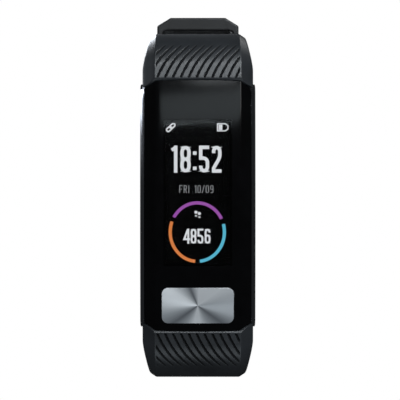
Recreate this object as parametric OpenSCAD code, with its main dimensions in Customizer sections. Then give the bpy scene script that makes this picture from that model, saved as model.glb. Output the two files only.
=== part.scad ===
// Fitness tracker band: a slim curved case with a touch electrode under its display, and two
// moulded straps on sprung bars, shown unbuckled. X runs across the band, Y from the display
// towards the wrist, Z towards the buckle strap. The origin is the centre of the sensor window's
// flat face, which rests on the wrist. All sizes are in millimetres.

/* [Case] */
// Width over the side walls
case_w = 21; // [20:0.1:26]
// Length between the two strap ends, along Z
case_l = 46.3; // [44:0.1:56]
// Thickness from the sensor window's face to the highest point of the glass
case_t = 11.5; // [11.3:0.1:15]
// Radius of the lengthwise curve of the glass
glass_r = 95; // [80:1:160]
// Thickness of the cover glass
glass_t = 1.0; // [0.8:0.1:1.2]
// Width of the flat strip along the glass and the strap ends
flat_w = 15.7; // [15:0.1:17]
// Drop of the bevels at both sides of the flat strip
bevel_drop = 1.9; // [1.5:0.1:2.2]
// Width of the frame's rim beside the glass
rim_w = 0.75; // [0.6:0.05:0.9]
// How much each side of the frame draws in towards the straps
side_draw = 0.35; // [0.1:0.05:0.4]
// Radius of the frame's rear long edges
rear_edge_r = 2.6; // [1.5:0.1:3]

/* [Display and electrode] */
// Width of the display panel
display_w = 12.6; // [10:0.1:13]
// Length of the display panel
display_l = 27; // [20:0.1:28]
// Height of the display's centre above the case's centre
display_z = 2.3; // [1:0.1:3]
// Width of the touch electrode
electrode_w = 13.1; // [8:0.1:14]
// Length of the touch electrode
electrode_l = 6.6; // [4:0.1:7]
// Distance of the electrode's centre from the lower end of the case
electrode_from_end = 4.95; // [4.6:0.05:5.6]
// Corner radius of the touch electrode
electrode_corner_r = 1.15; // [0.5:0.05:2]

/* [Rear] */
// Diameter of the sensor window
lens_d = 9.6; // [8:0.1:10]
// How far the sensor window stands out of the rear cover
lens_proud = 1.2; // [0.8:0.1:1.5]
// Thickness of the rear cover
cover_t = 1.45; // [1.2:0.05:1.6]
// Head diameter of the case screws
screw_head_d = 1.8; // [1.4:0.1:2]

/* [Straps] */
// Depth of the spring bar's axis below the strap's outer face
bar_depth = 2.5; // [2.3:0.1:3]
// Distance of the spring bar's axis from the strap's front corner
bar_set_back = 2.2; // [2:0.1:2.6]
// Gap between the strap's nose and the case
nose_gap = 0.25; // [0.2:0.05:0.4]
// Half width of the strap at the case
strap_root_half = 10.1; // [9.7:0.05:10.4]
// Half width of the strap at the keeper and along the tail
strap_tail_half = 6.5; // [6:0.1:8]
// Thickness of the strap away from the case
strap_t = 2.3; // [2:0.1:2.6]
// Rise of the strap's arch above the end of the case
arch_rise = 8.35; // [7.5:0.05:11]
// How far the straps lean in behind the arch, in degrees
settle_turn = 5; // [4:0.5:8]
// Straight length of the upper strap, where the keeper slides
upper_run = 18; // [17:0.5:27]
// Radius of the upper strap's curve down to the buckle
upper_curve_r = 22; // [18:0.5:28]
// Straight length of the lower strap
lower_run = 18; // [16:0.5:32]
// Radius of the lower strap's curve up to its tip
lower_curve_r = 40; // [36:0.5:50]
// Turn of the lower strap behind its arch, in degrees
lower_turn = 100; // [80:1:105]
// Diameter of the adjustment holes
hole_d = 2.4; // [2:0.1:3]
// Number of adjustment holes
hole_count = 9; // [4:1:10]
// Distance between two adjustment holes
hole_pitch = 6.2; // [5:0.1:6.5]

/* [Spring bars] */
// Diameter of the spring bar's tube
bar_d = 1.5; // [1.3:0.1:1.6]
// Diameter of the spring bar's tips
bar_tip_d = 0.9; // [0.7:0.1:1]
// Travel of the release knob
release_travel = 1.1; // [1:0.05:1.2]
// Width of the case's lugs
lug_w = 8; // [6:0.1:8]

/* [Keeper] */
// Length of the keeper along the strap
keeper_l = 7; // [5:0.1:8]
// Wall of the keeper beside the strap
keeper_side_t = 1.0; // [0.8:0.1:1.4]
// Wall of the keeper over the tail
keeper_top_t = 2.45; // [1.6:0.05:2.6]
// Width of the keeper's cut corners
keeper_cut = 2.5; // [1:0.1:2.6]
// Distance of the keeper behind the start of the straight length
keeper_at = 1.7; // [1.7:0.1:4]

/* [Buckle] */
// Width of the bars of the buckle frame
buckle_bar = 1.7; // [1.4:0.1:2.2]
// Thickness of the buckle frame
buckle_t = 2.0; // [1.6:0.1:2.4]
// Distance from the pin to the frame's far bar
buckle_reach = 10.5; // [9:0.1:13]
// Width of the tongue
tongue_w = 1.5; // [1.2:0.1:1.8]

/* [Hidden] */
$fn = 64;
ROUND_FN = 200; // for the large curves of the glass and the rear
e = 0.01;

front_y = -case_t;
flat_half = flat_w / 2;
glass_half = case_w / 2 - rim_w;
curve_y = front_y + glass_r; // centre of the glass's lengthwise curve
rear_y = -lens_proud;
bevel_slope = bevel_drop / (glass_half - flat_half);
glass_seat = 0.66; // width of the glass edge on the frame's ledge
inner_flat = flat_half - glass_t * tan(atan(bevel_slope) / 2);
seat_depth = glass_t + (glass_half - glass_seat - inner_flat) * bevel_slope;
fit_gap = 0.05; // glued and seated pieces

// Strap root: the outer face's front corner, its heading from +Z towards +Y, and the bar.
root_z = case_l / 2;
root_h = asin(root_z / glass_r);
root_y = curve_y - glass_r * cos(root_h);
nose_r = norm([bar_depth, bar_set_back]);
nose_t = bar_depth + nose_r;
bar_r = bar_d / 2;
bore_r = bar_r + 0.05;
bar_at = [root_y + bar_set_back * sin(root_h) + bar_depth * cos(root_h),
          root_z + bar_set_back * cos(root_h) - bar_depth * sin(root_h)];

// Cavity, ledge and rear opening of the frame.
cavity_half_w = case_w / 2 - 2.1;
cavity_half_l = case_l / 2 - 4.15;
ledge_half_w = case_w / 2 - 3.6;
ledge_half_l = case_l / 2 - 7.05;
cover_half_w = case_w / 2 - 2.9;
cover_half_l = case_l / 2 - 6.3;
cover_y = rear_y - cover_t; // inner face of the rear cover
ledge_y = cover_y - 0.45; // the seal lies between the ledge and the cover
ledge_t = 1.1;
boss = 3.0;

screw_x = cover_half_w - 1.5;
screw_z = cover_half_l - 1.6;
screw_r = 0.5;
pilot_r = 0.44; // the screws cut their own thread

// Layers inside the case, from the glass towards the wrist.
boss_front_y = front_y + 2.4; // flat back of the glass's optical block
display_t = 1.4;
board_y = boss_front_y + display_t + 0.3;
board_t = 0.6;
boss_y = board_y + board_t; // the board rests on the screw bosses
board_half_w = cover_half_w - 1.0; // overlaps the screw bosses
board_half_l = cavity_half_l - 1.5;
chip_y = board_y + board_t;
battery_y = chip_y + 0.9;
sensor_board_y = cover_y - 0.55;
battery_t = sensor_board_y - 0.1 - battery_y;
battery_half_w = ledge_half_w - 0.4;
battery_high = ledge_half_l - 3.1;
motor_r = 3.5;
motor_z = -(ledge_half_l - 3.1);
battery_low = motor_z + motor_r + 1.0;
motor_t = ledge_y - ledge_t - chip_y - 0.05; // stays in front of the ledge
electrode_t = 0.6;
electrode_z = root_z - electrode_from_end; // below the case's centre

// Buckle, pin and tongue.
pin_r = bar_r;
pin_ear_r = 1.6;
strap_end_r = 1.8;
buckle_in = strap_tail_half + 0.3;
buckle_out = buckle_in + buckle_bar;
tongue_slot = tongue_w + 0.6;
tongue_eye_r = pin_r + 0.75;

// Keeper: its inside goes round the strap and leaves room above it for the tail.
keeper_in = strap_tail_half + 0.17;
keeper_out = keeper_in + keeper_side_t;
keeper_room = strap_t + 0.05; // above the strap
keeper_slack = 0.12; // below the strap
keeper_floor_t = 1.2;

arch_top = root_z + arch_rise;
arch_r = (arch_top - (root_z + bar_set_back * cos(root_h))) / (1 - sin(root_h));
arch_l = arch_r * (90 - root_h) * PI / 180;

// A strap's route in the side view is a list of [length, turn in degrees].
settle_l = 18;
ARCH = [[bar_set_back, 0], [arch_l, 90 - root_h], [settle_l, settle_turn]];
function bend(r, turn) = [r * turn * PI / 180, turn];
UPPER_ROUTE = concat(ARCH, [[upper_run, 0], bend(upper_curve_r, 90 - settle_turn)]);
LOWER_ROUTE = concat(ARCH, [[lower_run, 0], bend(lower_curve_r, lower_turn - settle_turn)]);
ROOT = [root_y, root_z, root_h];
function total(route, i = 0) = i == len(route) ? 0 : route[i][0] + total(route, i + 1);
upper_l = total(UPPER_ROUTE);
lower_l = total(LOWER_ROUTE);
taper_l = 31; // the straps reach their tail width here
tip_l = 5; // rounded end of the tail
first_hole = 12; // from the tail's tip

function eased(u) = let(v = max(0, min(1, u))) v * v * (3 - 2 * v);

// Where a route is after a length: [y, z, heading].
function along(p, length, turn) = let(h = p[2])
    abs(turn) < 1e-6
        ? [p[0] + length * sin(h), p[1] + length * cos(h), h]
        : let(r = length / (turn * PI / 180))
          [p[0] + r * (cos(h) - cos(h + turn)), p[1] + r * (sin(h + turn) - sin(h)), h + turn];
function station(p, route, s, i = 0) =
    (s <= route[i][0] || i == len(route) - 1)
        ? along(p, s, route[i][1] * s / route[i][0])
        : station(along(p, route[i][0], route[i][1]), route, s - route[i][0], i + 1);

// The strap's section at a length: half width, bevel width, bevel drop and thickness.
root_waist = 1.0; // of the taper, close to the case
function half_width(s) = strap_root_half - root_waist * eased((s - 1.5) / 9.5)
    - (strap_root_half - strap_tail_half - root_waist) * eased((s - 8) / (taper_l - 8));
function tip_cut(s, length) = let(u = max(0, (s - length + tip_l) / tip_l))
    (strap_tail_half - 2.5) * (1 - sqrt(max(0, 1 - u * u)));
root_bevel = strap_root_half - flat_half;
function bevel_width(s) = 1.2 + (root_bevel - 1.2) * (1 - eased(s / 14));
function bevel_depth(s) = 0.8 + (root_bevel * bevel_slope - 0.8) * (1 - eased(s / 13));
function thickness(s) =
    strap_t + (nose_t - strap_t) * (1 - eased((s - bar_set_back) / 20));

// The section's corners as [x, depth], seen along the strap.
function section(s, cut = 0) =
    let(w = half_width(s) - cut, f = w - bevel_width(s), b = bevel_depth(s), t = thickness(s),
        c = 0.3)
    [[-w + c, t], [-w, t - c], [-w, b], [-f, 0], [f, 0], [w, b], [w, t - c], [w - c, t]];
CORNERS = 8;

function on_route(p, q) = // a section's corner at a station
    [q[0], p[0] + q[1] * cos(p[2]), p[1] - q[1] * sin(p[2])];

module strap_skin(route, length, tipped) {
    step = 1.7;
    start = bar_set_back;
    body_n = ceil((length - (tipped ? tip_l : 0) - start) / step);
    body_end = tipped ? length - tip_l : length;
    tip_n = 8;
    stops = concat(
        [for (i = [0:body_n]) start + (body_end - start) * i / body_n],
        tipped ? [for (i = [1:tip_n]) body_end + tip_l * sin(90 * i / tip_n)] : []);
    points = [for (s = stops, q = section(s, tipped ? tip_cut(s, length) : 0))
                 on_route(station(ROOT, route, s), q)];
    last = len(stops) - 1;
    sides = [for (i = [0:last - 1], j = [0:CORNERS - 1])
                let(k = (j + 1) % CORNERS, a = i * CORNERS, b = a + CORNERS)
                each [[a + j, b + j, a + k], [a + k, b + j, b + k]]];
    caps = [[for (j = [0:CORNERS - 1]) j],
            [for (j = [CORNERS - 1:-1:0]) last * CORNERS + j]];
    polyhedron(points, concat(sides, caps), convexity = 6);
}

// Children are placed at a route's station: X across, Y inwards and Z along the strap.
module at_station(p) {
    translate([0, p[0], p[1]]) rotate([-p[2], 0, 0]) children();
}
module at_bar() {
    translate([0, bar_at[0], bar_at[1]]) rotate([-root_h, 0, 0]) children();
}
module below() { mirror([0, 0, 1]) children(); }
module both_ends() {
    children();
    below() children();
}
module rod_x(r, from, to) { // a cylinder along X
    translate([from, 0, 0]) rotate([0, 90, 0]) cylinder(r = r, h = to - from);
}
module rod_y(r, from, to) { // a cylinder along Y
    translate([0, from, 0]) rotate([-90, 0, 0]) cylinder(r = r, h = to - from);
}
module block(x, y, z) { // a box from pairs of limits
    translate([x[0], y[0], z[0]]) cube([x[1] - x[0], y[1] - y[0], z[1] - z[0]]);
}
module rounded(w, h, r) {
    square([w - 2 * r, h], center = true);
    square([w, h - 2 * r], center = true);
    for (x = [-1, 1], y = [-1, 1])
        translate([x * (w / 2 - r), y * (h / 2 - r)]) circle(r);
}
module plate_y(w, l, r, from, to) { // a rounded plate whose thickness runs along Y
    translate([0, to, 0]) rotate([90, 0, 0]) linear_extrude(to - from) rounded(w, l, r);
}
// Revolves a profile of [depth below the glass, x] about the glass's lengthwise curve.
module curved(profile) {
    translate([0, curve_y, 0]) rotate([0, 90, 0])
        rotate_extrude($fn = ROUND_FN)
            polygon([for (q = profile) [glass_r - q[0], q[1]]]);
}
// Children stand on the glass at a height, with Y into the case.
module on_glass(z) {
    a = asin(z / glass_r);
    translate([0, curve_y - glass_r * cos(a), z]) rotate([-a, 0, 0]) children();
}

function mirrored(half) = concat(half, [for (i = [len(half) - 1:-1:0]) [half[i][0], -half[i][1]]]);
function glass_profile(gap, above) = mirrored(concat(
    [[glass_t + gap, 0.001], [glass_t + gap, inner_flat], [seat_depth + gap, glass_half - glass_seat],
     [seat_depth + gap, glass_half + gap]],
    above > 0 ? [[-above, glass_half + gap], [-above, 0.001]]
              : [[bevel_drop, glass_half], [0, flat_half], [0, 0.001]]));

module frame_envelope() {
    intersection() {
        curved(mirrored([[14, 0.001], [14, case_w / 2], [bevel_drop + 1.4 * rim_w, case_w / 2],
                         [bevel_drop, glass_half], [0, flat_half], [0, 0.001]]));
        // side view: a flat rear that curves up towards both straps
        rotate([90, 0, 90]) linear_extrude(case_w + 2, center = true) rear_outline();
        // seen from the end: rounded long edges at the rear
        linear_extrude(case_l + 4, center = true) end_outline();
        // both sides bow out towards the middle
        for (side = [-1, 1]) translate([side * (case_w / 2 - side_r), 0, 0]) rotate([90, 0, 0])
            cylinder(r = side_r, h = 4 * case_t, center = true, $fn = SIDE_FN);
    }
}
side_r = case_l * case_l / 8 / side_draw;
SIDE_FN = 1440;
rear_curve_r = 16;
rear_flat = case_l / 2 - 8.65;
module rear_outline() { // drawn as [y, z]
    intersection() {
        union() {
            translate([front_y - 2, -rear_flat]) square([rear_y - front_y + 2, 2 * rear_flat]);
            for (side = [-1, 1])
                translate([rear_y - rear_curve_r, side * rear_flat])
                    circle(rear_curve_r, $fn = ROUND_FN);
        }
        translate([front_y - 2, -case_l / 2 - 1]) square([case_t + 2, case_l + 2]);
    }
}
module end_outline() { // drawn as [x, y]
    side_y = rear_y - rear_edge_r;
    translate([-case_w / 2, front_y - 2]) square([case_w, side_y - front_y + 2]);
    translate([-case_w / 2 + rear_edge_r, front_y - 2])
        square([case_w - 2 * rear_edge_r, rear_y - front_y + 2]);
    for (side = [-1, 1])
        translate([side * (case_w / 2 - rear_edge_r), side_y]) circle(rear_edge_r);
}
module strap_clearance() {
    both_ends() at_bar() rod_x(nose_r + nose_gap, -case_w, case_w);
}

/* ---- Case ---- */
lug_r = bore_r + 0.6;
neck_half = 1.1;
neck_angle = 38; // of the lug's neck, from the strap's line towards the wrist
open_angle = 50; // the strap's outward swing

module lug() {
    at_bar() difference() {
        union() {
            rod_x(lug_r, -lug_w / 2, lug_w / 2);
            rotate([neck_angle, 0, 0])
                block([-lug_w / 2, lug_w / 2], [-neck_half, neck_half], [-4.6, 0]);
        }
        rod_x(bore_r, -lug_w, lug_w);
    }
}

module case_frame() {
    color([0.03, 0.03, 0.035]) {
        difference() {
            frame_envelope();
            curved(glass_profile(0.02, 2));
            strap_clearance();
            // display and board cavity, ledge opening and rear opening
            block([-cavity_half_w + 1.3, cavity_half_w - 1.3], [front_y - 1, board_y - 1.6],
                  [-cavity_half_l, cavity_half_l]);
            difference() {
                union() {
                    block([-cavity_half_w, cavity_half_w], [board_y - 1.7, ledge_y - ledge_t],
                          [-cavity_half_l, cavity_half_l]);
                    block([-ledge_half_w, ledge_half_w], [ledge_y - ledge_t - e, ledge_y + e],
                          [-ledge_half_l, ledge_half_l]);
                }
                screw_bosses();
            }
            plate_y(2 * (cover_half_w + fit_gap), 2 * (cover_half_l + fit_gap), 1.2, ledge_y, 1);
            screw_places() rod_y(pilot_r, boss_y + 0.6, 0);
        }
        both_ends() lug();
    }
}
module screw_places() {
    for (x = [-1, 1], z = [-1, 1]) translate([x * screw_x, 0, z * screw_z]) children();
}
module screw_bosses() {
    for (x = [-1, 1], z = [-1, 1])
        scale([x, 1, z])
            block([cover_half_w - boss, cavity_half_w + 0.3], [boss_y, ledge_y],
                  [cover_half_l - boss, cavity_half_l + 0.3]);
}

module electrode_pocket(gap) {
    on_glass(-electrode_z)
        plate_y(electrode_w + 2 * gap, electrode_l + 2 * gap, electrode_corner_r + gap, -1,
                electrode_t + 1.2);
}
module front_glass() {
    color([0.02, 0.02, 0.025]) difference() {
        union() {
            curved(glass_profile(0, 0));
            // flat-backed optical block over the display
            intersection() {
                curved(mirrored([[3, 0.001], [3, inner_flat - 0.3], [0.5, inner_flat - 0.3],
                                 [0.5, 0.001]]));
                translate([0, 0, display_z])
                    block([-display_w / 2, display_w / 2], [front_y - 1, boss_front_y],
                          [-display_l / 2, display_l / 2]);
            }
        }
        strap_clearance();
        for (side = [-1, 1])
            translate([0, curve_y, side * (glass_r + case_l / 2 + 1.5)])
                cube([50, 2 * glass_r + 50, 2 * glass_r], center = true);
        translate([0, curve_y + 30, 0]) cube([50, 2 * 30 + glass_r, 3 * glass_r], center = true);
        electrode_pocket(fit_gap);
    }
}

module touch_electrode() {
    color([0.62, 0.64, 0.67]) on_glass(-electrode_z) {
        plate_y(electrode_w, electrode_l, electrode_corner_r, 0, electrode_t);
        rod_y(1.0, electrode_t - e, electrode_t + stud_l);
    }
}
electrode_turn = asin(electrode_z / glass_r);
// the stud takes its share of the room between the electrode and the board
stud_l = 0.2855 * (board_y - curve_y + (glass_r - electrode_t) * cos(electrode_turn));
electrode_back = curve_y - (glass_r - electrode_t - stud_l) * cos(electrode_turn);
electrode_foot_z = -electrode_z * (glass_r - electrode_t - stud_l) / glass_r;
module electrode_contact() { // bent leaf spring between the electrode's stud and the board
    color([0.83, 0.66, 0.3]) translate([0, 0, electrode_foot_z + 0.2]) {
        block([-0.8, 0.8], [electrode_back + 0.2, electrode_back + 0.35], [-0.6, 1.6]);
        block([-0.8, 0.8], [electrode_back + 0.2, board_y], [1.45, 1.6]);
        block([-0.8, 0.8], [board_y - 0.15, board_y], [1.45, 2.6]);
    }
}

module display_panel() {
    color([0.05, 0.05, 0.06]) translate([0, 0, display_z])
        block([-display_w / 2 + 0.15, display_w / 2 - 0.15], [boss_front_y + 0.02, boss_front_y + 0.6],
              [-display_l / 2 + 0.2, display_l / 2 - 0.2]);
}
module display_backlight() { // light guide in its white frame
    color([0.85, 0.86, 0.85]) translate([0, 0, display_z]) difference() {
        block([-display_w / 2, display_w / 2], [boss_front_y + 0.62, boss_front_y + display_t],
              [-display_l / 2, display_l / 2]);
        block([-display_w / 2 + 1, display_w / 2 - 1],
              [boss_front_y + display_t - 0.15, boss_front_y + display_t + 1],
              [-display_l / 2 + 1.5, display_l / 2 - 1.5]);
    }
}
flex_half = 2.6;
module flex_fold(y0, y1, t, front_run, back_run) { // a flat cable folded back on itself
    r = (y1 - y0) / 2;
    translate([0, (y0 + y1) / 2, 0]) {
        intersection() {
            difference() {
                rod_x(r, -flex_half, flex_half);
                rod_x(r - t, -10, 10);
            }
            block([-10, 10], [-10, 10], [-10, 0]);
        }
        block([-flex_half, flex_half], [-r, -r + t], [-e, front_run]);
        block([-flex_half, flex_half], [r - t, r], [-e, back_run]);
    }
}
module display_flex() { // from the back of the display to the front of the board
    color([0.78, 0.45, 0.12])
        translate([0, 0, display_z - display_l / 2 - 0.1])
            flex_fold(boss_front_y + 0.1, board_y - 0.02, 0.08, 0.3, 4);
}
module sensor_flex() { // from the sensor board round to the main board
    color([0.78, 0.45, 0.12])
        block([-2, 2], [chip_y, sensor_board_y], [battery_low - 0.6, battery_low - 0.4]);
}

module main_board() {
    color([0.05, 0.2, 0.12]) difference() {
        block([-board_half_w, board_half_w], [board_y, board_y + board_t],
              [-board_half_l, board_half_l]);
        for (x = [-1, 1], z = [-1, 1]) scale([x, 1, z])
            block([board_half_w - 1.6, board_half_w + 1], [board_y - 1, board_y + 2],
                  [board_half_l - 1.4, board_half_l + 1]);
    }
}
// Chips on the board's rear face as [x, z, width, length, height].
CHIPS = [[-2.6, 7.5, 5, 5, 0.7], [3.2, 8.6, 3, 3, 0.6], [3.4, 4.2, 2.6, 3.4, 0.7],
         [-3.4, 1.2, 3.2, 2.4, 0.6], [2.4, -0.8, 2, 1.2, 0.5], [-3.2, -4.2, 2.4, 2.4, 0.6],
         [3.2, -4.6, 3.2, 1.6, 0.5], [0, board_half_l - 1.1, 7.0, 1.6, 1.0]];
module board_chips() {
    color([0.1, 0.1, 0.11]) for (c = CHIPS)
        block([c[0] - c[2] / 2, c[0] + c[2] / 2], [chip_y, chip_y + c[4]],
              [c[1] - c[3] / 2, c[1] + c[3] / 2]);
}
module battery() {
    color([0.72, 0.73, 0.75]) {
        block([-battery_half_w, battery_half_w], [battery_y, battery_y + battery_t],
              [battery_low, battery_high]);
    }
}
module vibration_motor() {
    color([0.6, 0.6, 0.62]) translate([0, 0, motor_z]) {
        rod_y(motor_r, chip_y + 0.02, chip_y + motor_t);
        rod_y(motor_r - 1.2, chip_y + motor_t - e, chip_y + motor_t + 0.15);
    }
}
module sensor_board() {
    color([0.05, 0.2, 0.12]) rod_y(lens_d / 2 + 1.0, sensor_board_y, sensor_board_y + 0.5);
}
// Two green diodes and the light sensor between them, as [x, width, length].
module sensor_diodes() {
    color([0.5, 0.75, 0.45]) for (d = [[-2.6, 1.2, 1.6], [0, 2.0, 2.2], [2.6, 1.2, 1.6]])
        block([d[0] - d[1] / 2, d[0] + d[1] / 2], [sensor_board_y + 0.5, sensor_board_y + 0.95],
              [-d[2] / 2, d[2] / 2]);
}

lens_r = lens_d / 2;
lens_flange_r = lens_r + 0.5;
lens_in_y = cover_y + 0.45;
pad_w = 11;
pad_l = 4.4;
pad_z = 8.8;
pad_t = 0.5;
pad_proud = 0.12;
contact_r = 1.0;
contact_x = 2.3;
contact_z = -(cover_half_l - 3.2);
module pad_places() {
    for (side = [-1, 1]) translate([0, 0, side * pad_z]) children();
}
module contact_places() {
    for (side = [-1, 1]) translate([side * contact_x, 0, contact_z]) children();
}
module rear_cover() {
    color([0.05, 0.05, 0.055]) difference() {
        intersection() {
            frame_envelope();
            plate_y(2 * cover_half_w, 2 * cover_half_l, 1.15, cover_y, 1);
        }
        rod_y(lens_r + fit_gap, cover_y - 1, 1);
        rod_y(lens_flange_r + fit_gap, cover_y - 1, lens_in_y + 0.4);
        pad_places()
            plate_y(pad_w + 2 * fit_gap, pad_l + 2 * fit_gap, 1.4, rear_y - pad_t, 1);
        pad_places() rod_y(0.85, cover_y - 1, 1);
        contact_places() rod_y(contact_r - 0.02, cover_y - 1, 1); // the contacts are pressed in
        screw_places() {
            rod_y(screw_r + 0.1, cover_y - 1, 1);
            rod_y(screw_head_d / 2 + 0.1, rear_y - 0.75, 1);
        }
    }
}
module sensor_lens() {
    color([0.15, 0.16, 0.18]) {
        rod_y(lens_flange_r, lens_in_y, lens_in_y + 0.4);
        rod_y(lens_r, lens_in_y + 0.4 - e, -0.35);
        translate([0, -0.35 - e, 0]) rotate([-90, 0, 0])
            cylinder(r1 = lens_r, r2 = lens_r - 0.35, h = 0.35 + e);
    }
}
module rear_electrodes() {
    color([0.6, 0.62, 0.64]) pad_places() {
        plate_y(pad_w, pad_l, 1.35, rear_y - pad_t, rear_y + pad_proud);
        rod_y(0.8, cover_y - 0.2, rear_y - pad_t + e);
    }
}
module charging_contacts() {
    color([0.83, 0.68, 0.33]) contact_places() rod_y(contact_r, cover_y - 0.4, rear_y - 0.1);
}
module case_screws() {
    color([0.25, 0.25, 0.27]) screw_places() difference() {
        union() {
            rod_y(screw_r, boss_y + 1, rear_y - 0.7);
            rod_y(screw_head_d / 2, rear_y - 0.72, rear_y - 0.2);
        }
        for (a = [0, 90]) rotate([0, a, 0])
            block([-0.12, 0.12], [rear_y - 0.45, 1], [-0.6, 0.6]);
    }
}
module seal_ring() {
    color([0.75, 0.2, 0.12]) difference() {
        plate_y(2 * cover_half_w - 0.1, 2 * cover_half_l - 0.1, 1.1, ledge_y, cover_y);
        plate_y(2 * ledge_half_w + 0.2, 2 * ledge_half_l + 0.2, 0.6, ledge_y - 1, cover_y + 1);
    }
}

/* ---- Straps ---- */
notch_half = lug_w / 2 + 0.25;
tube_half = notch_half - 0.1;
knob_r = 0.4;
knob_x = tube_half + knob_r + 0.05 + release_travel; // at rest
slot_end = knob_x + knob_r + 0.1;
slot_half = 0.7;
tip_r = bar_tip_d / 2;
tip_end = slot_end + release_travel - 0.05; // the sliding tip clears its hole when drawn in
fixed_tip_end = tube_half + 1.4;

module lug_notch() { // swept room for the case's lug, in the bar's frame
    a = neck_angle - open_angle;
    room = neck_half + 0.25;
    side = room * [-cos(a), -sin(a)];
    ray = [sin(a), -cos(a)];
    rod_x(lug_r + 0.3, -notch_half, notch_half);
    translate([-notch_half, 0, 0]) rotate([90, 0, 90]) linear_extrude(2 * notch_half)
        polygon([side, side + 7 * ray, [7, -7], [7, lug_r + 0.3], [0, lug_r + 0.3]]);
}
module strap_root() { // the rounded nose, in the front corner's frame
    translate([0, bar_depth, bar_set_back]) intersection() {
        rod_x(nose_r, -strap_root_half, strap_root_half);
        translate([0, -bar_depth, -2 * nose_r]) linear_extrude(2 * nose_r + 0.4)
            polygon(section(bar_set_back));
    }
}
module bar_cuts() {
    lug_notch();
    rod_x(tip_r + 0.05, -fixed_tip_end - 0.15, tip_end + 0.15);
    block([0, slot_end], [-tip_r - 0.1, 7], [-slot_half, slot_half]);
}
module upper_strap() {
    end = station(ROOT, UPPER_ROUTE, upper_l);
    color([0.1, 0.105, 0.11]) difference() {
        union() {
            strap_skin(UPPER_ROUTE, upper_l, false);
            at_station(ROOT) strap_root();
            at_station(end) translate([0, strap_t / 2, 0])
                rod_x(strap_end_r, -strap_tail_half + 0.3, strap_tail_half - 0.3);
        }
        at_bar() bar_cuts();
        at_station(end) translate([0, strap_t / 2, 0]) {
            rod_x(bore_r, -10, 10);
            block([-tongue_slot / 2, tongue_slot / 2], [-3, 3], [-3.4, 5]);
        }
    }
}
module lower_strap() {
    color([0.1, 0.105, 0.11]) below() difference() {
        union() {
            strap_skin(LOWER_ROUTE, lower_l, true);
            at_station(ROOT) strap_root();
        }
        at_bar() bar_cuts();
        for (i = [0:hole_count - 1])
            at_station(station(ROOT, LOWER_ROUTE, lower_l - first_hole - i * hole_pitch))
                rod_y(hole_d / 2, -1, strap_t + 1);
    }
}

/* ---- Spring bars, in the bar's frame ---- */
spring_from = -2.6;
spring_to = 1.2;
module bar_tube() { // with its fixed tip
    color([0.6, 0.61, 0.63]) difference() {
        union() {
            rod_x(bar_r, -tube_half, tube_half);
            rod_x(tip_r, -fixed_tip_end, 0);
        }
        rod_x(tip_r + 0.03, spring_from, 10);
    }
}
module bar_release() { // the sliding tip with its knob
    color([0.6, 0.61, 0.63]) {
        rod_x(tip_r, spring_to, tip_end);
        translate([knob_x, 0, 0]) rod_y(knob_r, 0, nose_r - 0.35);
    }
}
module bar_spring() { // a coil between the tube's blind end and the sliding tip
    wire_r = 0.09;
    coil_r = tip_r - wire_r - 0.02;
    turns = 7;
    per_turn = 10;
    sides_n = 6;
    n = turns * per_turn;
    length = spring_to - spring_from - 2 * wire_r;
    points = [for (i = [0:n], j = [0:sides_n - 1])
        let(a = 360 * i / per_turn, b = 360 * j / sides_n, r = coil_r + wire_r * cos(b))
        [spring_from + wire_r + length * i / n + wire_r * sin(b), r * cos(a), r * sin(a)]];
    faces = [for (i = [0:n - 1], j = [0:sides_n - 1])
        let(k = (j + 1) % sides_n, a = i * sides_n, b = a + sides_n)
        each [[a + j, a + k, b + j], [a + k, b + k, b + j]]];
    caps = [[for (j = [sides_n - 1:-1:0]) j], [for (j = [0:sides_n - 1]) n * sides_n + j]];
    color([0.55, 0.56, 0.58]) polyhedron(points, concat(faces, caps), convexity = 8);
}

/* ---- Keeper and buckle ---- */
module keeper() {
    top = keeper_room + keeper_top_t;
    bottom = strap_t + keeper_slack + keeper_floor_t;
    inside_l = keeper_room + strap_t + keeper_slack;
    cut = keeper_cut;
    foot = 1.2;
    half = [[keeper_out - cut, -top], [keeper_out, 0.62 * cut - top], [keeper_out, bottom - foot],
            [keeper_out - foot, bottom]];
    color([0.09, 0.09, 0.095])
        at_station(station(ROOT, UPPER_ROUTE, bar_set_back + arch_l + settle_l + keeper_at))
            linear_extrude(keeper_l) difference() {
                polygon(concat(half, [for (i = [3:-1:0]) [-half[i][0], half[i][1]]]));
                translate([0, (strap_t + keeper_slack - keeper_room) / 2])
                    rounded(2 * keeper_in, inside_l, 0.9);
            }
}

module at_pin() {
    at_station(station(ROOT, UPPER_ROUTE, upper_l)) translate([0, strap_t / 2, 0]) children();
}
module buckle_frame() { // here Y points to the wrist and Z away from the strap
    color([0.12, 0.12, 0.13]) at_pin() difference() {
        union() {
            plate_y_at(2 * buckle_out, buckle_reach + buckle_bar, 2.2, -buckle_t / 2, buckle_t / 2,
                       (buckle_reach + buckle_bar) / 2);
            for (side = [-1, 1]) scale([side, 1, 1]) rod_x(pin_ear_r, buckle_in, buckle_out);
        }
        plate_y_at(2 * buckle_in, buckle_reach - buckle_bar / 2 + 4, 1.0, -5, 5,
                   (buckle_reach - buckle_bar / 2 - 4) / 2);
        block([-buckle_in, buckle_in], [-5, 5], [-5, 2]);
        rod_x(pin_r, -10, 10);
        block([-tongue_w / 2 - 0.15, tongue_w / 2 + 0.15], [-5, -buckle_t / 2 + 0.5],
              [buckle_reach - 3, buckle_reach + 5]);
        for (side = [-1, 1])
            scale([side, 1, 1]) block([buckle_in - 1, buckle_out + 1], [-5, 5], [-5, -pin_ear_r]);
    }
}
module plate_y_at(w, l, r, from, to, z) {
    translate([0, 0, z]) plate_y(w, l, r, from, to);
}
module buckle_pin() {
    color([0.6, 0.61, 0.63]) at_pin() rod_x(pin_r, -buckle_out + 0.15, buckle_out - 0.15);
}
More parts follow.
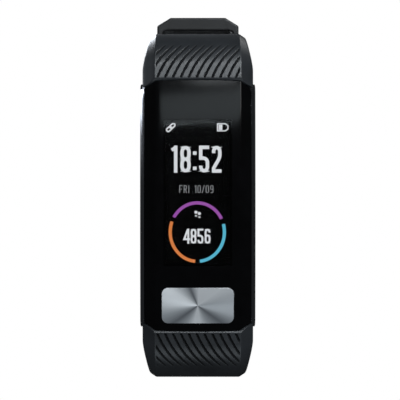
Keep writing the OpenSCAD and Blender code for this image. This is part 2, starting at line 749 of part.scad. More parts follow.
module buckle_tongue() {
    shaft_in = -buckle_t / 2 + 0.47;
    color([0.14, 0.14, 0.15]) at_pin() difference() {
        union() {
            rod_x(tongue_eye_r, -tongue_w / 2, tongue_w / 2);
            block([-tongue_w / 2, tongue_w / 2], [shaft_in - 0.97, shaft_in],
                  [0, buckle_reach + 0.2]);
            translate([0, shaft_in - 0.485, buckle_reach + 0.2])
                intersection() {
                    rotate([90, 0, 0]) cylinder(r = tongue_w / 2, h = 0.97, center = true);
                    block([-5, 5], [-5, 5], [0, 5]);
                }
        }
        rod_x(bore_r, -10, 10);
    }
}

case_frame();
front_glass();
touch_electrode();
electrode_contact();
display_panel();
display_backlight();
display_flex();
sensor_flex();
main_board();
board_chips();
battery();
vibration_motor();
sensor_board();
sensor_diodes();
rear_cover();
sensor_lens();
rear_electrodes();
charging_contacts();
case_screws();
seal_ring();
upper_strap();
at_bar() bar_tube();  // upper_bar_tube
at_bar() bar_release();  // upper_bar_release
at_bar() bar_spring();  // upper_bar_spring
lower_strap();
below() at_bar() bar_tube();  // lower_bar_tube
below() at_bar() bar_release();  // lower_bar_release
below() at_bar() bar_spring();  // lower_bar_spring
keeper();
buckle_frame();
buckle_pin();
buckle_tongue();
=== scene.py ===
"""A fitness tracker band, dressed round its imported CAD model. Metres, in the CAD's own frame."""
import math

import bpy
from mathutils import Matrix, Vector


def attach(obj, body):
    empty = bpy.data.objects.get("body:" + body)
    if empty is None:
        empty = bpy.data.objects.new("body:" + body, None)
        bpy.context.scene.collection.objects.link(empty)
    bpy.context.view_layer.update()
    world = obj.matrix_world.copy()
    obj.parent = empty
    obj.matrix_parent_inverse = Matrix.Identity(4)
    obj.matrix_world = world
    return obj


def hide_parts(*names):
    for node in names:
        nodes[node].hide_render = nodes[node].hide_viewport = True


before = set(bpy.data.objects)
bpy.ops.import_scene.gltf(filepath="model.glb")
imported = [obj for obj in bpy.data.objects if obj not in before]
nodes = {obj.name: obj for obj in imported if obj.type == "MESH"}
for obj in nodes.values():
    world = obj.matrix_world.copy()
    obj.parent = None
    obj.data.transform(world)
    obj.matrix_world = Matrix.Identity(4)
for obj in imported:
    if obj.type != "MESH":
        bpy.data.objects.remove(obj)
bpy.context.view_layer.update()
MM = 0.001

# ---- Sizes, in millimetres, as in the CAD source ----
CASE_W, CASE_L, CASE_T = 21.0, 46.3, 11.5
GLASS_R, GLASS_T, FLAT, BEVEL_DROP, RIM = 95.0, 1.0, 7.85, 1.9, 0.75
GLASS_HALF = CASE_W / 2 - RIM
CURVE_Y = -CASE_T + GLASS_R
ROOT_Z = CASE_L / 2
ROOT_H = math.asin(ROOT_Z / GLASS_R)
ROOT_Y = CURVE_Y - GLASS_R * math.cos(ROOT_H)
BAR_DEPTH, BAR_BACK = 2.5, 2.2
NOSE_R = math.hypot(BAR_DEPTH, BAR_BACK)
NOSE_T = BAR_DEPTH + NOSE_R
BAR_Y = ROOT_Y + BAR_BACK * math.sin(ROOT_H) + BAR_DEPTH * math.cos(ROOT_H)
BAR_Z = ROOT_Z + BAR_BACK * math.cos(ROOT_H) - BAR_DEPTH * math.sin(ROOT_H)

# The straps: each route is a list of (length, turn) from the case outwards.
ARCH_RISE, SETTLE_L, SETTLE_TURN, RUN = 8.35, 18, math.radians(5), 18
UPPER_R, UPPER_TURN, LOWER_R, LOWER_TURN = 22, math.radians(85), 40, math.radians(95)
ARCH_R = (ARCH_RISE - BAR_BACK * math.cos(ROOT_H)) / (1 - math.sin(ROOT_H))
ARCH_TURN = math.pi / 2 - ROOT_H
ARCH = [(BAR_BACK, 0), (ARCH_R * ARCH_TURN, ARCH_TURN), (SETTLE_L, SETTLE_TURN), (RUN, 0)]
UPPER = ARCH + [(UPPER_R * UPPER_TURN, UPPER_TURN)]
LOWER = ARCH + [(LOWER_R * LOWER_TURN, LOWER_TURN)]
ROOT_HALF, TAIL_HALF, STRAP_T, TAPER, TIP, WAIST = 10.1, 6.5, 2.3, 31.0, 5.0, 1.0
PIN_R, EYE_R, TONGUE_SLOT = 0.8, 1.8, 1.05
HOLE_R, HOLE_COUNT, HOLE_PITCH, HOLE_FIRST = 1.2, 9, 6.2, 12

# The face: the display's centre and front, the clear window, and the electrode.
DISPLAY_Z, PANEL_Y = 2.3, -9.08
WIN_X, WIN_HALF_L = 6.2, 13.3
ELECTRODE_Z, ELECTRODE_HALF_W, ELECTRODE_HALF_L, ELECTRODE_CORNER = -18.2, 6.55, 3.3, 1.15


# ---- Small helpers ----
def add(name, verts, faces, body, smooth=None):
    """A mesh piece from millimetre points, riding on a body."""
    mesh = bpy.data.meshes.new(name)
    mesh.from_pydata([tuple(c * MM for c in v) for v in verts], [], faces)
    mesh.validate()
    ob = bpy.data.objects.new(name, mesh)
    bpy.context.scene.collection.objects.link(ob)
    if smooth is not None:
        shade(mesh, smooth)
    if body:
        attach(ob, body)
    return ob


def shade(mesh, angle):
    mesh.polygons.foreach_set("use_smooth", [True] * len(mesh.polygons))
    mesh.set_sharp_from_angle(angle=math.radians(angle))
    mesh.update()


def scratch(name, verts, faces):
    """A cutter or a piece to join, thrown away after use."""
    return add(name, verts, faces, None)


def boolean(ob, others, operation):
    """Cuts or joins a mesh with several closed pieces at once."""
    group = bpy.data.collections.new("operands")
    bpy.context.scene.collection.children.link(group)
    for o in others:
        bpy.context.scene.collection.objects.unlink(o)
        group.objects.link(o)
    mod = ob.modifiers.new("cut", "BOOLEAN")
    mod.operation = operation
    mod.solver = "MANIFOLD"
    mod.operand_type = "COLLECTION"
    mod.collection = group
    bake(ob)
    for o in others:
        bpy.data.objects.remove(o)
    bpy.data.collections.remove(group)


def bake(ob):
    """Replaces the mesh by what its modifiers make of it."""
    graph = bpy.context.evaluated_depsgraph_get()
    mesh = bpy.data.meshes.new_from_object(ob.evaluated_get(graph))
    ob.modifiers.clear()
    ob.data = mesh


def smoothstep(a, b, v):
    t = max(0.0, min(1.0, (v - a) / (b - a)))
    return t * t * (3 - 2 * t)


# ---- Shader helpers ----
class Nodes:
    """Builds a material's tree from short calls."""

    def __init__(self, name):
        self.material = bpy.data.materials.new(name)
        self.material.use_nodes = True
        self.tree = self.material.node_tree
        self.tree.nodes.clear()
        self.out = self.node("ShaderNodeOutputMaterial")

    def node(self, kind, **settings):
        n = self.tree.nodes.new(kind)
        for key, value in settings.items():
            setattr(n, key, value)
        return n

    def link(self, a, b):
        self.tree.links.new(a, b)

    def put(self, socket, value):
        if isinstance(value, bpy.types.NodeSocket):
            self.link(value, socket)
        else:
            socket.default_value = value

    def math(self, op, a, b=0.0, c=0.0, clamp=False):
        n = self.node("ShaderNodeMath", operation=op, use_clamp=clamp)
        for socket, value in zip(n.inputs, (a, b, c)):
            self.put(socket, value)
        return n.outputs[0]

    def coords(self):
        return self.node("ShaderNodeTexCoord").outputs["Object"]

    def mapped(self, scale):
        m = self.node("ShaderNodeMapping")
        self.link(self.coords(), m.inputs["Vector"])
        m.inputs["Scale"].default_value = scale
        return m.outputs[0]

    def noise(self, vector, scale, detail=2.0, rough=0.5):
        n = self.node("ShaderNodeTexNoise")
        self.put(n.inputs["Vector"], vector)
        n.inputs["Scale"].default_value = scale
        n.inputs["Detail"].default_value = detail
        n.inputs["Roughness"].default_value = rough
        return n.outputs[0]

    def ramp(self, value, stops):
        n = self.node("ShaderNodeValToRGB")
        self.put(n.inputs[0], value)
        els = n.color_ramp.elements
        while len(els) < len(stops):
            els.new(0.5)
        for el, (place, colour) in zip(els, stops):
            el.position = place
            el.color = (*colour, 1) if len(colour) == 3 else colour
        return n.outputs[0]

    def spread(self, value, low, high):
        n = self.node("ShaderNodeMapRange")
        self.put(n.inputs["Value"], value)
        n.inputs["To Min"].default_value = low
        n.inputs["To Max"].default_value = high
        return n.outputs[0]

    def bump(self, height, strength, distance):
        n = self.node("ShaderNodeBump")
        n.inputs["Strength"].default_value = strength
        n.inputs["Distance"].default_value = distance
        self.link(height, n.inputs["Height"])
        return n.outputs[0]

    def surface(self, **values):
        p = self.node("ShaderNodeBsdfPrincipled")
        for key, value in values.items():
            self.put(p.inputs[key.replace("_", " ")], value)
        self.link(p.outputs[0], self.out.inputs[0])
        return p


def moulded(name, colour, rough, grain=0.12, depth=0.02, vary=0.25, specular=0.5, loose=0.07, **more):
    """Moulded plastic or rubber: a fine grain in mm, faint flow mottling and uneven gloss."""
    n = Nodes(name)
    where = n.coords()
    fine = n.noise(where, 1000 / grain, 3.0, 0.6)
    broad = n.noise(where, 120, 3.0, 0.55)
    low = tuple(c * (1 - vary) for c in colour)
    high = tuple(c * (1 + vary) for c in colour)
    tint = n.ramp(n.math("MULTIPLY_ADD", fine, 0.35, n.math("MULTIPLY", broad, 0.65)),
                  [(0.35, low), (0.65, high)])
    gloss = n.spread(n.math("MULTIPLY_ADD", fine, 0.4, n.math("MULTIPLY", broad, 0.6)),
                     max(0.0, rough - loose), rough + loose)
    n.surface(Base_Color=tint, Roughness=gloss, Specular_IOR_Level=specular,
              Normal=n.bump(fine, 0.35, depth * MM), **more)
    return n.material


def metal(name, colour, rough, along="X", vary=0.12, scratch_scale=(40, 4000, 4000), depth=0.004):
    """Brushed or turned metal: long fine scratches in one direction."""
    n = Nodes(name)
    scale = {"X": scratch_scale, "Z": (scratch_scale[1], scratch_scale[1], scratch_scale[0])}[along]
    lines = n.noise(n.mapped(scale), 1.0, 4.0, 0.65)
    cloud = n.noise(n.coords(), 260, 2.0)
    tint = n.ramp(n.math("MULTIPLY_ADD", lines, 0.7, n.math("MULTIPLY", cloud, 0.3)),
                  [(0.3, tuple(c * (1 - vary) for c in colour)), (0.7, colour)])
    n.surface(Base_Color=tint, Metallic=1.0, Roughness=n.spread(lines, rough - 0.06, rough + 0.1),
              Normal=n.bump(lines, 0.25, depth * MM))
    return n.material


def lit(name, colour, strength, dark=0.9):
    """A lit display element with a faint pixel structure."""
    n = Nodes(name)
    grid = n.mapped((7000, 1, 7000))
    parts = n.node("ShaderNodeSeparateXYZ")
    n.link(grid, parts.inputs[0])
    cell = n.math("MULTIPLY", n.math("FRACT", parts.outputs[0]), n.math("FRACT", parts.outputs[2]))
    tint = n.ramp(cell, [(0.0, tuple(c * dark for c in colour)), (0.35, colour)])
    n.surface(Base_Color=(0, 0, 0, 1), Roughness=0.5, Emission_Color=tint, Emission_Strength=strength)
    return n.material


# ---- Materials ----
RUBBER = moulded("strap_rubber", (0.015, 0.017, 0.0195), 0.38, grain=0.16, depth=0.02, specular=0.62)
# Groove faces get a darker, less glossy rubber: painted shade in the grooves.
GROOVE_SHADE_RUBBER = moulded("groove_rubber_painted_shade", (0.006, 0.0065, 0.0075), 0.6, grain=0.16, depth=0.02,
                        specular=0.2)
KEEPER_RUBBER = moulded("keeper_rubber", (0.013, 0.013, 0.0135), 0.46, grain=0.16, depth=0.018, specular=0.4)
FRAME_BLACK = metal("frame_black", (0.48, 0.49, 0.52), 0.14, along="Z", vary=0.15,
                    scratch_scale=(60, 3000, 3000), depth=0.001)
COVER_BLACK = moulded("cover_black", (0.022, 0.022, 0.024), 0.5, grain=0.14, depth=0.03)
BUCKLE_BLACK = metal("buckle_black", (0.075, 0.077, 0.082), 0.3, vary=0.2)
STEEL = metal("bar_steel", (0.62, 0.63, 0.65), 0.24)
REAR_STEEL = metal("rear_steel", (0.6, 0.61, 0.63), 0.26, along="X")
SCREW = metal("screw_steel", (0.2, 0.2, 0.21), 0.3)
GOLD = metal("contact_gold", (0.86, 0.62, 0.26), 0.22)
SPRING = metal("spring_steel", (0.45, 0.46, 0.48), 0.3)
SEAL = moulded("seal_red", (0.5, 0.08, 0.04), 0.5)
BOARD = moulded("board_green", (0.012, 0.085, 0.04), 0.35, grain=0.8)
CHIP = moulded("chip_black", (0.02, 0.02, 0.022), 0.55)
FLEX = moulded("flex_amber", (0.45, 0.2, 0.04), 0.3, grain=0.6)
FOIL = metal("cell_foil", (0.7, 0.71, 0.73), 0.34, along="Z")
GUIDE = moulded("light_guide", (0.8, 0.81, 0.8), 0.45)
DIODE = moulded("diode_green", (0.10, 0.36, 0.12), 0.2, Emission_Color=(0.1, 0.9, 0.2, 1),
                Emission_Strength=0.06)
MASK = moulded("mask_film", (0.0022, 0.0022, 0.0025), 0.3, grain=0.8, depth=0.001, specular=0.2)
PANEL = moulded("display_dark", (0.001, 0.001, 0.0012), 0.4, grain=0.3, depth=0.001, specular=0.05)


def glass(name, colour, ior, rough):
    """Clear glass: faint wipe marks only show in its gloss."""
    n = Nodes(name)
    wipe = n.noise(n.mapped((150, 150, 40)), 1.0, 3.0)
    n.surface(Base_Color=(*colour, 1), Transmission_Weight=1.0, IOR=ior,
              Roughness=n.spread(wipe, rough, rough + 0.04), Specular_IOR_Level=0.5)
    return n.material


COVER_GLASS = glass("cover_glass", (0.97, 0.98, 0.99), 1.3, 0.05)
LENS_GLASS = glass("lens_glass", (0.25, 0.26, 0.28), 1.45, 0.02)

PRINTED_GLASS = moulded("printed_glass", (0.0014, 0.0014, 0.0016), 0.115, grain=2.0, depth=0.0004,
                        specular=0.26, loose=0.02)

KEPT = {
    "case_frame": FRAME_BLACK, "electrode_contact": GOLD, "display_panel": PANEL,
    "display_backlight": GUIDE, "display_flex": FLEX, "sensor_flex": FLEX, "main_board": BOARD,
    "board_chips": CHIP, "battery": FOIL, "vibration_motor": STEEL, "sensor_board": BOARD,
    "sensor_diodes": DIODE, "rear_cover": COVER_BLACK, "sensor_lens": LENS_GLASS,
    "rear_electrodes": REAR_STEEL, "charging_contacts": GOLD, "case_screws": SCREW,
    "seal_ring": SEAL, "upper_bar_tube": STEEL, "upper_bar_release": STEEL,
    "upper_bar_spring": SPRING, "lower_bar_tube": STEEL, "lower_bar_release": STEEL,
    "lower_bar_spring": SPRING, "keeper": KEEPER_RUBBER, "buckle_frame": BUCKLE_BLACK,
    "buckle_pin": STEEL, "buckle_tongue": BUCKLE_BLACK,
}
for node_name, material in KEPT.items():
    ob = nodes[node_name]
    if not ob.material_slots:
        ob.data.materials.append(None)
    for s in ob.material_slots:
        s.material = material

# Small rounds on the edges of the CAD pieces that show.
ROUNDS = {"case_frame": 0.12, "rear_cover": 0.12, "rear_electrodes": 0.1, "keeper": 0.34,
          "buckle_frame": 0.3, "buckle_tongue": 0.22, "case_screws": 0.05, "buckle_pin": 0.15,
          "sensor_lens": 0.1}
for node_name, width in ROUNDS.items():
    ob = nodes[node_name]
    weld = ob.modifiers.new("weld", "WELD")
    weld.merge_threshold = 2e-6
    edge = ob.modifiers.new("round", "BEVEL")
    edge.width = width * MM
    edge.segments = 3
    edge.limit_method = "ANGLE"
    edge.angle_limit = math.radians(32)
    edge.harden_normals = False


# ---- Straps ----
def along(p, length, turn):
    y, z, h = p
    if abs(turn) < 1e-9:
        return y + length * math.sin(h), z + length * math.cos(h), h
    r = length / turn
    return (y + r * (math.cos(h) - math.cos(h + turn)), z + r * (math.sin(h + turn) - math.sin(h)),
            h + turn)


def station(route, s):
    p = (ROOT_Y, ROOT_Z, ROOT_H)
    for i, (length, turn) in enumerate(route):
        if s <= length or i == len(route) - 1:
            return along(p, s, turn * s / length)
        p = along(p, length, turn)
        s -= length


def eased(u):
    return smoothstep(0, 1, u)


SLOPE = BEVEL_DROP / (GLASS_HALF - FLAT)


def half_width(s):
    return (ROOT_HALF - WAIST * eased((s - 1.5) / 9.5)
            - (ROOT_HALF - TAIL_HALF - WAIST) * eased((s - 8) / (TAPER - 8)))


def bevel_width(s):
    return 1.2 + (ROOT_HALF - FLAT - 1.2) * (1 - eased(s / 14))


def bevel_depth(s):
    return 0.8 + ((ROOT_HALF - FLAT) * SLOPE - 0.8) * (1 - eased(s / 13))


def thickness(s):
    return STRAP_T + (NOSE_T - STRAP_T) * (1 - eased((s - BAR_BACK) / 20))


def nose_depths(s):
    """Front and back depth of the rounded nose, with a small round at the front corner."""
    reach = math.sqrt(max(0.0, NOSE_R ** 2 - (BAR_BACK - s) ** 2))
    raw = BAR_DEPTH - reach
    return 0.5 * (raw + math.sqrt(raw * raw + 0.012)), BAR_DEPTH + reach


GROOVE_PITCH, GROOVE_FIRST, GROOVE_COUNT, GROOVE_END = 1.432, -7.45, 11, 8.0
GROOVE_HALF, GROOVE_DEPTH, GROOVE_LEAN, GROOVE_SWEEP = 0.19, 0.38, 0.39, 0.037


def groove(x, s):
    """Depth of the slanted grooves at a point of the outer face."""
    if s < 0.1 or s > GROOVE_END:
        return 0.0
    shift = GROOVE_LEAN * s + GROOVE_SWEEP * s * s
    lean = math.cos(math.atan(GROOVE_LEAN + 2 * GROOVE_SWEEP * s))
    k = round((x - shift - GROOVE_FIRST) / GROOVE_PITCH)
    away = abs(x - shift - GROOVE_FIRST - k * GROOVE_PITCH) * lean / GROOVE_HALF
    if away >= 1 or k >= GROOVE_COUNT:
        return 0.0
    fade = smoothstep(0.16, 0.36, s) * (1 - smoothstep(1.0, GROOVE_END, s))
    side = 1 - smoothstep(FLAT - 0.5, FLAT - 0.12, abs(x))
    return GROOVE_DEPTH * fade * side * (1 - away ** 2) ** 0.6


def rounded_ring(corners, radii, splits, arc=4):
    """A closed outline with rounded corners and a fixed number of points."""
    n = len(corners)
    fillets = []
    for i in range(n):
        a, b, c = (Vector(corners[j % n]) for j in (i - 1, i, i + 1))
        u, v = a - b, c - b
        lu, lv = u.length, v.length
        u, v = u / max(lu, 1e-9), v / max(lv, 1e-9)
        angle = math.acos(max(-1, min(1, u.dot(v))))
        reach = min(radii[i] / max(math.tan(angle / 2), 1e-6), 0.45 * lu, 0.45 * lv)
        p, q = b + u * reach, b + v * reach
        pts = []
        for k in range(arc + 1):
            t = k / arc
            pts.append(p * (1 - t) ** 2 + b * 2 * t * (1 - t) + q * t * t)
        fillets.append(pts)
    out = []
    for i in range(n):
        out += fillets[i]
        p, q = fillets[i][-1], fillets[(i + 1) % n][0]
        for k in range(1, splits[i]):
            out.append(p.lerp(q, k / splits[i]))
    return out


FRONT_SPLITS = 236  # enough for the grooves


def strap_section(s, cut=0.0):
    """Outline of the strap across its length, as (x, depth below the outer face)."""
    nose = s < BAR_BACK
    at = max(s, BAR_BACK) if nose else s
    w = half_width(at) - cut
    b, f = bevel_depth(at), half_width(at) - cut - bevel_width(at)
    if nose:
        front, back = nose_depths(s)
    else:
        front, back = 0.0, thickness(s)
    gap = back - front
    c = min(0.3, 0.3 * gap)
    b2 = min(max(b, front + 0.05 * gap), back - c - 0.02 * gap)
    f2 = f + (w - f) * min(1.0, front / b) - (0.02 if front > b else 0)
    ring = rounded_ring(
        [(-w + c, back), (-w, back - c), (-w, b2), (-f2, front), (f2, front), (w, b2), (w, back - c),
         (w - c, back)],
        [0.3, 0.3, 0.9, 0.3, 0.3, 0.9, 0.3, 0.3], [1, 3, 4, FRONT_SPLITS, 4, 3, 1, 8])
    if s < GROOVE_END:
        for p in ring:
            if abs(p.y - front) < 1e-4:
                p.y += groove(p.x, s)
    return ring


def strap_stops(length, tipped):
    """Stations along the strap: close together at the nose, the grooves and the tip."""
    stops = []
    for i in range(15):  # the rounded nose
        stops.append(BAR_BACK - NOSE_R * math.cos(math.radians(6 + i * 2.9)))
    s = stops[-1]
    while s < GROOVE_END:
        s += 0.12 if s > 0 else 0.06
        stops.append(s)
    end = length - (TIP if tipped else 0)
    count = math.ceil((end - s) / 1.0)
    stops += [s + (end - s) * i / count for i in range(1, count + 1)]
    if tipped:
        stops += [end + TIP * math.sin(math.pi / 2 * i / 14) for i in range(1, 15)]
    return stops


def strap_mesh(name, route, tipped, mirror, body):
    """One closed strap along its route, with a darker, less glossy second material in the grooves as painted
    shade.
    """
    length = sum(l for l, _ in route)
    verts, faces, cuts = [], [], []
    stops = strap_stops(length, tipped)
    for s in stops:
        cut = 0.0
        if tipped and s > length - TIP:
            u = (s - length + TIP) / TIP
            cut = (TAIL_HALF - 2.5) * (1 - math.sqrt(max(0.0, 1 - u * u)))
        y, z, h = station(route, s)
        for p in strap_section(s, cut):
            verts.append((p.x, y + p.y * math.cos(h), z - p.y * math.sin(h)))
            cuts.append(groove(p.x, s) if p.y < 1.5 else 0.0)
    n = len(verts) // len(stops)
    # Faces in the grooves, which get the darker material as painted shade.
    groove_shade_mask = []
    for i in range(len(stops) - 1):
        a, b = i * n, (i + 1) * n
        for j in range(n):
            k = (j + 1) % n
            faces.append((a + j, a + k, b + k, b + j))
            groove_shade_mask.append(cuts[a + j] + cuts[a + k] + cuts[b + j] + cuts[b + k] > 0.1)
    faces.append(tuple(range(n - 1, -1, -1)))
    faces.append(tuple(range((len(stops) - 1) * n, len(stops) * n)))
    if mirror:
        verts = [(x, y, -z) for x, y, z in verts]
        faces = [tuple(reversed(f)) for f in faces]
    ob = add(name, verts, faces, body)
    ob.data.materials.append(RUBBER)
    ob.data.materials.append(GROOVE_SHADE_RUBBER)
    ob.data.polygons.foreach_set("material_index", [int(g) for g in groove_shade_mask] + [0, 0])
    return ob


def tube(name, centre, axis, side, r, half, sides=40, r2=None):
    """A capped cylinder round a centre, along an axis; side is any direction across it."""
    centre, axis, side = Vector(centre), Vector(axis).normalized(), Vector(side).normalized()
    other = axis.cross(side)
    r2 = r if r2 is None else r2
    verts = []
    for end, radius in ((-half, r), (half, r2)):
        for i in range(sides):
            a = 2 * math.pi * i / sides
            verts.append(tuple(centre + axis * end + radius * (side * math.cos(a) + other * math.sin(a))))
    faces = [(i, (i + 1) % sides, sides + (i + 1) % sides, sides + i) for i in range(sides)]
    faces += [tuple(range(sides - 1, -1, -1)), tuple(range(sides, 2 * sides))]
    return scratch(name, verts, faces)


def prism_x(name, outline, x0, x1):
    """An outline of (y, z) points, counter-clockwise seen from +X, drawn out along X."""
    n = len(outline)
    verts = [(x, y, z) for x in (x0, x1) for y, z in outline]
    faces = [(i, (i + 1) % n, n + (i + 1) % n, n + i) for i in range(n)]
    faces += [tuple(range(n - 1, -1, -1)), tuple(range(n, 2 * n))]
    return scratch(name, verts, faces)


def bar_frame(y, z, up):
    """A point of the bar's frame (y inwards, z along the strap) in the row frame."""
    c, s = math.cos(ROOT_H), math.sin(ROOT_H)
    return (BAR_Y + y * c + z * s, up * (BAR_Z - y * s + z * c))


def root_cutters(up):
    """Room for the case's lug, its neck and the bar's tips and knob."""
    notch, lug, room = 4.25, 1.4 + 0.3, 1.35
    neck_angle, open_angle = 38, 50
    a = math.radians(neck_angle - open_angle)
    sy, sz = -room * math.cos(a), -room * math.sin(a)
    outline = [(sy, sz), (sy + 7 * math.sin(a), sz - 7 * math.cos(a)), (7, -7), (7, lug), (0, lug)]
    slot = [(-0.55, -0.7), (7, -0.7), (7, 0.7), (-0.55, 0.7)]
    centre = (0, *bar_frame(0, 0, up))
    cutters = [tube("cut_lug", centre, (1, 0, 0), (0, 1, 0), lug, notch),
               tube("cut_tips", (0.7, *bar_frame(0, 0, up)), (1, 0, 0), (0, 1, 0), 0.5, 6.7, 24)]
    for shape, x0, x1 in ((outline, -notch, notch), (slot, 0, 6.2)):
        points = [bar_frame(y, z, up) for y, z in shape]
        if up < 0:
            points.reverse()
        cutters.append(prism_x("cut_notch", points, x0, x1))
    return cutters


upper_length = sum(l for l, _ in UPPER)
end_y, end_z, _ = station(UPPER, upper_length)
pin_y, pin_z = end_y - STRAP_T / 2, end_z
upper = strap_mesh("strap_upper", UPPER, False, False, "upper_strap")
boolean(upper, [tube("eye", (0, pin_y, pin_z), (1, 0, 0), (0, 1, 0), EYE_R, TAIL_HALF - 0.3, 48)],
        "UNION")
boolean(upper, root_cutters(1) + [
    tube("cut_pin", (0, pin_y, pin_z), (1, 0, 0), (0, 1, 0), PIN_R, 12, 32),
    prism_x("cut_tongue", [(pin_y - 3, pin_z - 5), (pin_y + 3, pin_z - 5), (pin_y + 3, pin_z + 3.4),
                           (pin_y - 3, pin_z + 3.4)], -TONGUE_SLOT, TONGUE_SLOT)], "DIFFERENCE")
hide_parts("upper_strap")

lower = strap_mesh("strap_lower", LOWER, True, True, "lower_strap")
lower_length = sum(l for l, _ in LOWER)
holes = []
for i in range(HOLE_COUNT):
    y, z, h = station(LOWER, lower_length - HOLE_FIRST - HOLE_PITCH * i)
    inward = Vector((0, math.cos(h), math.sin(h)))  # from the outer face, mirrored in z
    outer = Vector((0, y, -z))
    holes.append(tube("hole", outer + inward * STRAP_T / 2, inward, (1, 0, 0), HOLE_R, 3, 36))
    holes.append(tube("rim", outer, inward, (1, 0, 0), HOLE_R + 0.3, 0.14, 36, HOLE_R))
boolean(lower, root_cutters(-1) + holes, "DIFFERENCE")
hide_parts("lower_strap")
for strap in (upper, lower):
    shade(strap.data, 40)


# ---- Cover glass with its clear window ----
def end_angle(drop):
    """Where a surface this far below the glass meets the strap's rounded seat."""
    r = GLASS_R - drop
    low, high = 0.15, 0.3
    for _ in range(50):
        a = (low + high) / 2
        y, z = CURVE_Y - r * math.cos(a), r * math.sin(a)
        inside = math.hypot(y - BAR_Y, z - BAR_Z) < NOSE_R + 0.25
        low, high = (low, a) if inside or z > BAR_Z else (a, high)
    return low


CROWN = 0.12  # of the flat strip, crosswise
WIN_LOW, WIN_HIGH = DISPLAY_Z - WIN_HALF_L, DISPLAY_Z + WIN_HALF_L


def glass_drop(x):
    """Drop of the glass's outer face at a distance from its centre line."""
    soft = 0.28
    rise = 0.5 * (abs(x) - FLAT + math.sqrt((abs(x) - FLAT) ** 2 + soft ** 2))
    base = 0.5 * (-FLAT + math.sqrt(FLAT ** 2 + soft ** 2))
    return (rise - base) * SLOPE + CROWN * min(1.0, (x / FLAT) ** 2)


def glass_shell():
    """The cover glass as one closed shell: clear over the display, printed black round it."""
    half = GLASS_HALF - 0.02
    shift = GLASS_T * math.tan(math.atan(SLOPE) / 2)
    xs = [0, 1.5, 3, 4.6, WIN_X, 6.6, 7.0, 7.3, 7.5, 7.65, 7.75, 7.85, 7.95, 8.05, 8.2, 8.4, 8.8, 9.2,
          9.5, half - 0.12, half - 0.05, half]
    xs = [-x for x in reversed(xs[1:])] + xs
    span = end_angle(0)
    low, high = math.asin(WIN_LOW / GLASS_R) / span, math.asin(WIN_HIGH / GLASS_R) / span
    us = sorted([low, high] + [i / 36 for i in range(-36, 37)
                               if abs(i / 36 - low) > 0.01 and abs(i / 36 - high) > 0.01])
    verts, faces, clear = [], [], []
    for layer in (0, 1):
        for u in us:
            for x in xs:
                if layer:  # the inner face follows the outer one a glass thickness below
                    inner = max(-half, min(half, x * (FLAT - shift) / FLAT if abs(x) < FLAT else
                                           x - math.copysign(shift, x)))
                    if abs(x) == half:
                        inner = x
                    d = GLASS_T + glass_drop(abs(inner) + shift) if abs(inner) < half - shift else \
                        GLASS_T + glass_drop(half) - shift * SLOPE
                    x = inner
                else:
                    over = max(0.0, abs(x) - (half - 0.16))
                    d = glass_drop(x) + 0.5 * over * over / 0.16
                a = end_angle(d) * u
                r = GLASS_R - d
                verts.append((x, CURVE_Y - r * math.cos(a), r * math.sin(a)))
    m, rows = len(xs), len(us)
    layer = rows * m
    for i in range(rows - 1):
        for j in range(m - 1):
            a, b = i * m + j, layer + i * m + j
            faces += [(a, a + 1, a + m + 1, a + m), (b, b + m, b + m + 1, b + 1)]
            window = low <= (us[i] + us[i + 1]) / 2 <= high and abs(xs[j] + xs[j + 1]) / 2 < WIN_X
            clear += [window, window]
    for j in range(m - 1):
        for i in (0, rows - 1):
            a, b = i * m + j, layer + i * m + j
            faces.append((a, b, b + 1, a + 1) if i == 0 else (a, a + 1, b + 1, b))
            clear.append(False)
    for i in range(rows - 1):
        for j in (0, m - 1):
            a, b = i * m + j, layer + i * m + j
            faces.append((a, a + m, b + m, b) if j == 0 else (a, b, b + m, a + m))
            clear.append(False)
    ob = add("cover_glass", verts, faces, "case", 30)
    ob.data.materials.append(COVER_GLASS)
    ob.data.materials.append(PRINTED_GLASS)
    for polygon, window in zip(ob.data.polygons, clear):
        polygon.material_index = 0 if window else 1
    return ob


shell = glass_shell()
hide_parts("front_glass")


def well():
    """Dark walls from the glass down to the display."""
    corner = 0.3
    outline = []
    for cx, cz, a0 in ((1, 1, 0), (-1, 1, 90), (-1, -1, 180), (1, -1, 270)):
        for k in range(5):
            a = math.radians(a0 + 22.5 * k)
            outline.append((cx * (WIN_X - corner) + corner * math.cos(a),
                            DISPLAY_Z + cz * (WIN_HALF_L + 0.1 - corner) + corner * math.sin(a)))
    inner = GLASS_R - GLASS_T - 0.06
    front = [(x, CURVE_Y - inner * math.cos(z / GLASS_R), z) for x, z in outline]
    back = [(x, PANEL_Y + 0.02, z) for x, z in outline]
    n = len(outline)
    faces = [(i, n + i, n + (i + 1) % n, (i + 1) % n) for i in range(n)]
    ob = add("window_well", front + back, faces, "case")
    mod = ob.modifiers.new("thick", "SOLIDIFY")
    mod.thickness = 0.06 * MM
    mod.offset = 0
    return ob


shaft = well()
shaft.data.materials.append(MASK)


# ---- Watch face, drawn with strokes ----
def ribbon(points, width, closed=False):
    """Left and right edges of a stroke with mitred joins, as (verts, faces) in the face's plane."""
    n = len(points)
    verts, faces = [], []
    for i in range(n):
        p = Vector(points[i])
        before = Vector(points[(i - 1) % n]) if closed or i > 0 else None
        after = Vector(points[(i + 1) % n]) if closed or i < n - 1 else None
        d0 = (p - before).normalized() if before is not None else (after - p).normalized()
        d1 = (after - p).normalized() if after is not None else d0
        n0, n1 = Vector((-d0.y, d0.x)), Vector((-d1.y, d1.x))
        m = (n0 + n1).normalized()
        m *= width / 2 / max(0.35, m.dot(n1))
        verts += [tuple(p + m), tuple(p - m)]
    for i in range(n if closed else n - 1):
        j = (i + 1) % n
        faces.append((2 * i, 2 * i + 1, 2 * j + 1, 2 * j))
    return verts, faces


def arc(cx, cz, r, a0, a1, steps=10, rz=None):
    rz = r if rz is None else rz
    return [(cx + r * math.cos(math.radians(a0 + (a1 - a0) * i / steps)),
             cz + rz * math.sin(math.radians(a0 + (a1 - a0) * i / steps))) for i in range(steps + 1)]


